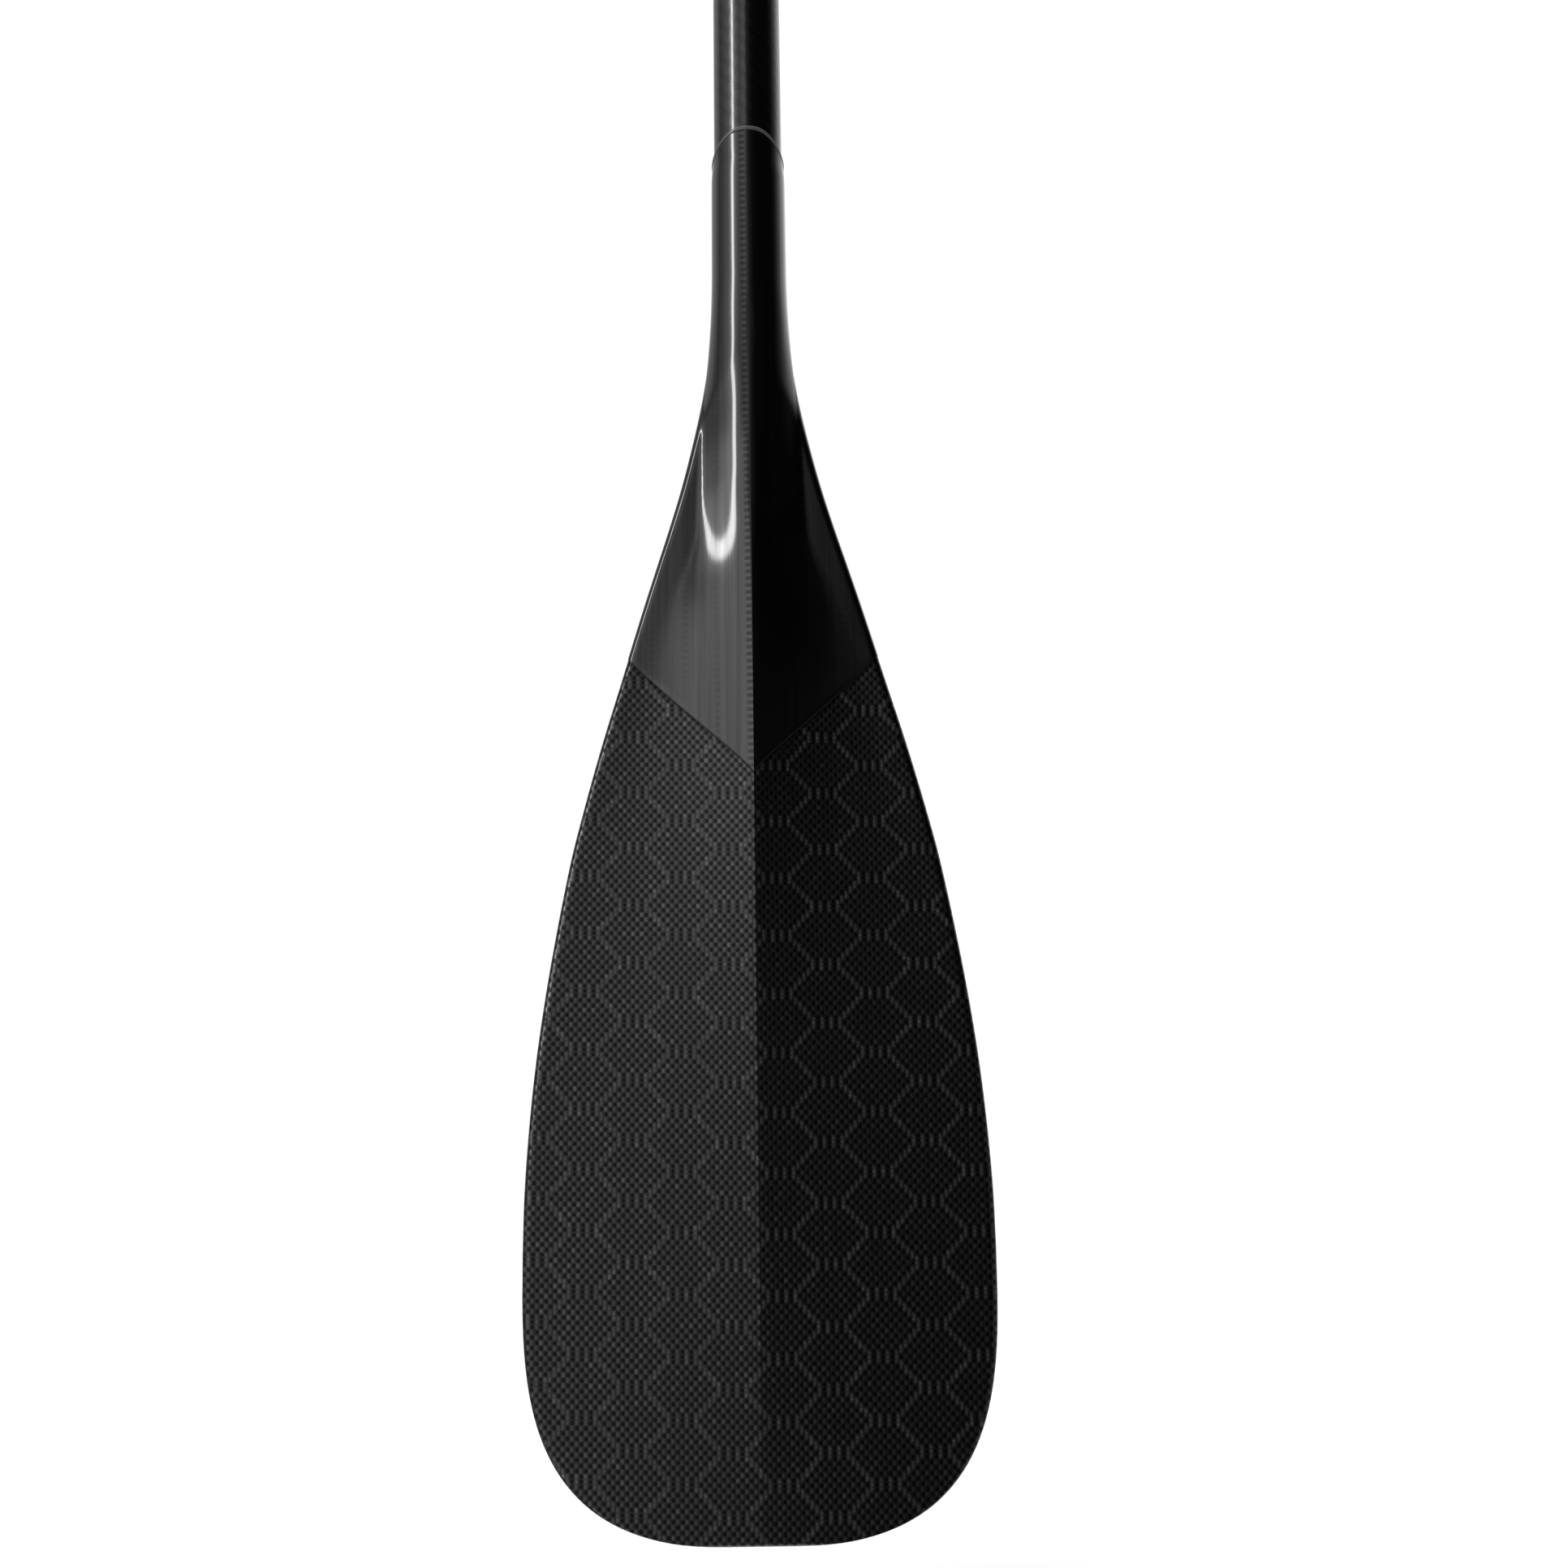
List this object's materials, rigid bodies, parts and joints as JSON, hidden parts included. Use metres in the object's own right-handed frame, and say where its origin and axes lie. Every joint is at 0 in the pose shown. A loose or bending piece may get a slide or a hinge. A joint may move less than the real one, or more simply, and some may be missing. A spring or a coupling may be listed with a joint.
{
  "type": "kayak paddle",
  "caption": "Two-bladed carbon kayak paddle: ridged teardrop blades on a round shaft with a lever-locked ferrule that sets its length and feather angle.",
  "frame": {"origin": "on the shaft's axis, half-way between the blades' tips, at the top of the ferrule's collar", "axes": "+Z along the shaft from the right blade to the left blade, -Y towards the ridged side of both blades, +X across the blades"},
  "size_m": [0.1782, 0.049, 2.1992],
  "materials": {
    "blade_weave": "woven carbon with a honeycomb pattern under satin-gloss resin",
    "neck_carbon": "unidirectional carbon under gloss resin",
    "shaft_carbon": "twill-woven carbon under gloss resin",
    "ferrule_carbon": "ground satin carbon",
    "spar": "moulded, bonded",
    "foam": "closed-cell foam",
    "seam_resin": "clear resin bead",
    "drip_rubber": "soft matt rubber",
    "black_nylon": "glass-filled nylon, fine texture",
    "grey_nylon": "glass-filled nylon, fine texture",
    "steel": "stainless, turned"
  },
  "bodies": {
    "right_half": {"right_blade_skin_front": "blade_weave", "right_blade_skin_back": "blade_weave", "right_blade_core": "foam", "right_neck_wrap_front": "neck_carbon", "right_neck_wrap_back": "neck_carbon", "right_neck_spar": "spar", "right_seam_ring": "seam_resin", "right_shaft_tube": "shaft_carbon", "right_shaft_plug": "foam", "clamp_collar": "black_nylon", "cam_pad": "steel", "bolt_washer": "steel"},
    "right_drip_ring": {"right_drip_ring": "drip_rubber"},
    "index_ring": {"index_ring": "grey_nylon"},
    "left_half": {"left_blade_skin_front": "blade_weave", "left_blade_skin_back": "blade_weave", "left_blade_core": "foam", "left_neck_wrap_front": "neck_carbon", "left_neck_wrap_back": "neck_carbon", "left_neck_spar": "spar", "left_seam_ring": "seam_resin", "left_shaft_tube": "shaft_carbon", "left_shaft_plug": "foam", "insert_tube": "ferrule_carbon", "insert_end_cap": "black_nylon"},
    "left_drip_ring": {"left_drip_ring": "drip_rubber"},
    "cam_pin": {"barrel_pin": "steel"},
    "tension_screw": {"clamp_bolt": "steel"},
    "clamp_lever": {"clamp_lever": "grey_nylon"}
  },
  "joints": [
    {"name": "feather_angle", "type": "hinge", "parent": "right_half", "child": "index_ring", "pos_m": [0, 0, 0], "axis": [0, 0, 1], "range_deg": [-90, 90]},
    {"name": "length_adjust", "type": "slide", "parent": "index_ring", "child": "left_half", "axis": [0, 0, 1], "range_m": [0, 0.1]},
    {"name": "cam_release", "type": "slide", "parent": "right_half", "child": "cam_pin", "axis": [0, 1, 0], "range_m": [0, 0.0008]},
    {"name": "lever_open", "type": "hinge", "parent": "cam_pin", "child": "clamp_lever", "pos_m": [0.0235, -0.01475, -0.017], "axis": [0, 0, 1], "range_deg": [0, 165]},
    {"name": "bolt_turn", "type": "hinge", "parent": "cam_pin", "child": "tension_screw", "pos_m": [0.0235, 0, -0.017], "axis": [0, 1, 0], "continuous": true},
    {"name": "right_drip_ring_slide", "type": "slide", "parent": "right_half", "child": "right_drip_ring", "axis": [0, 0, 1], "range_m": [-0.12, 0.28]},
    {"name": "left_drip_ring_slide", "type": "slide", "parent": "left_half", "child": "left_drip_ring", "axis": [0, 0, 1], "range_m": [-0.28, 0.12]}
  ],
  "couplings": [
    {"joint": "cam_release", "follows": "lever_open", "m_per_rad": 0.000277}
  ]
}
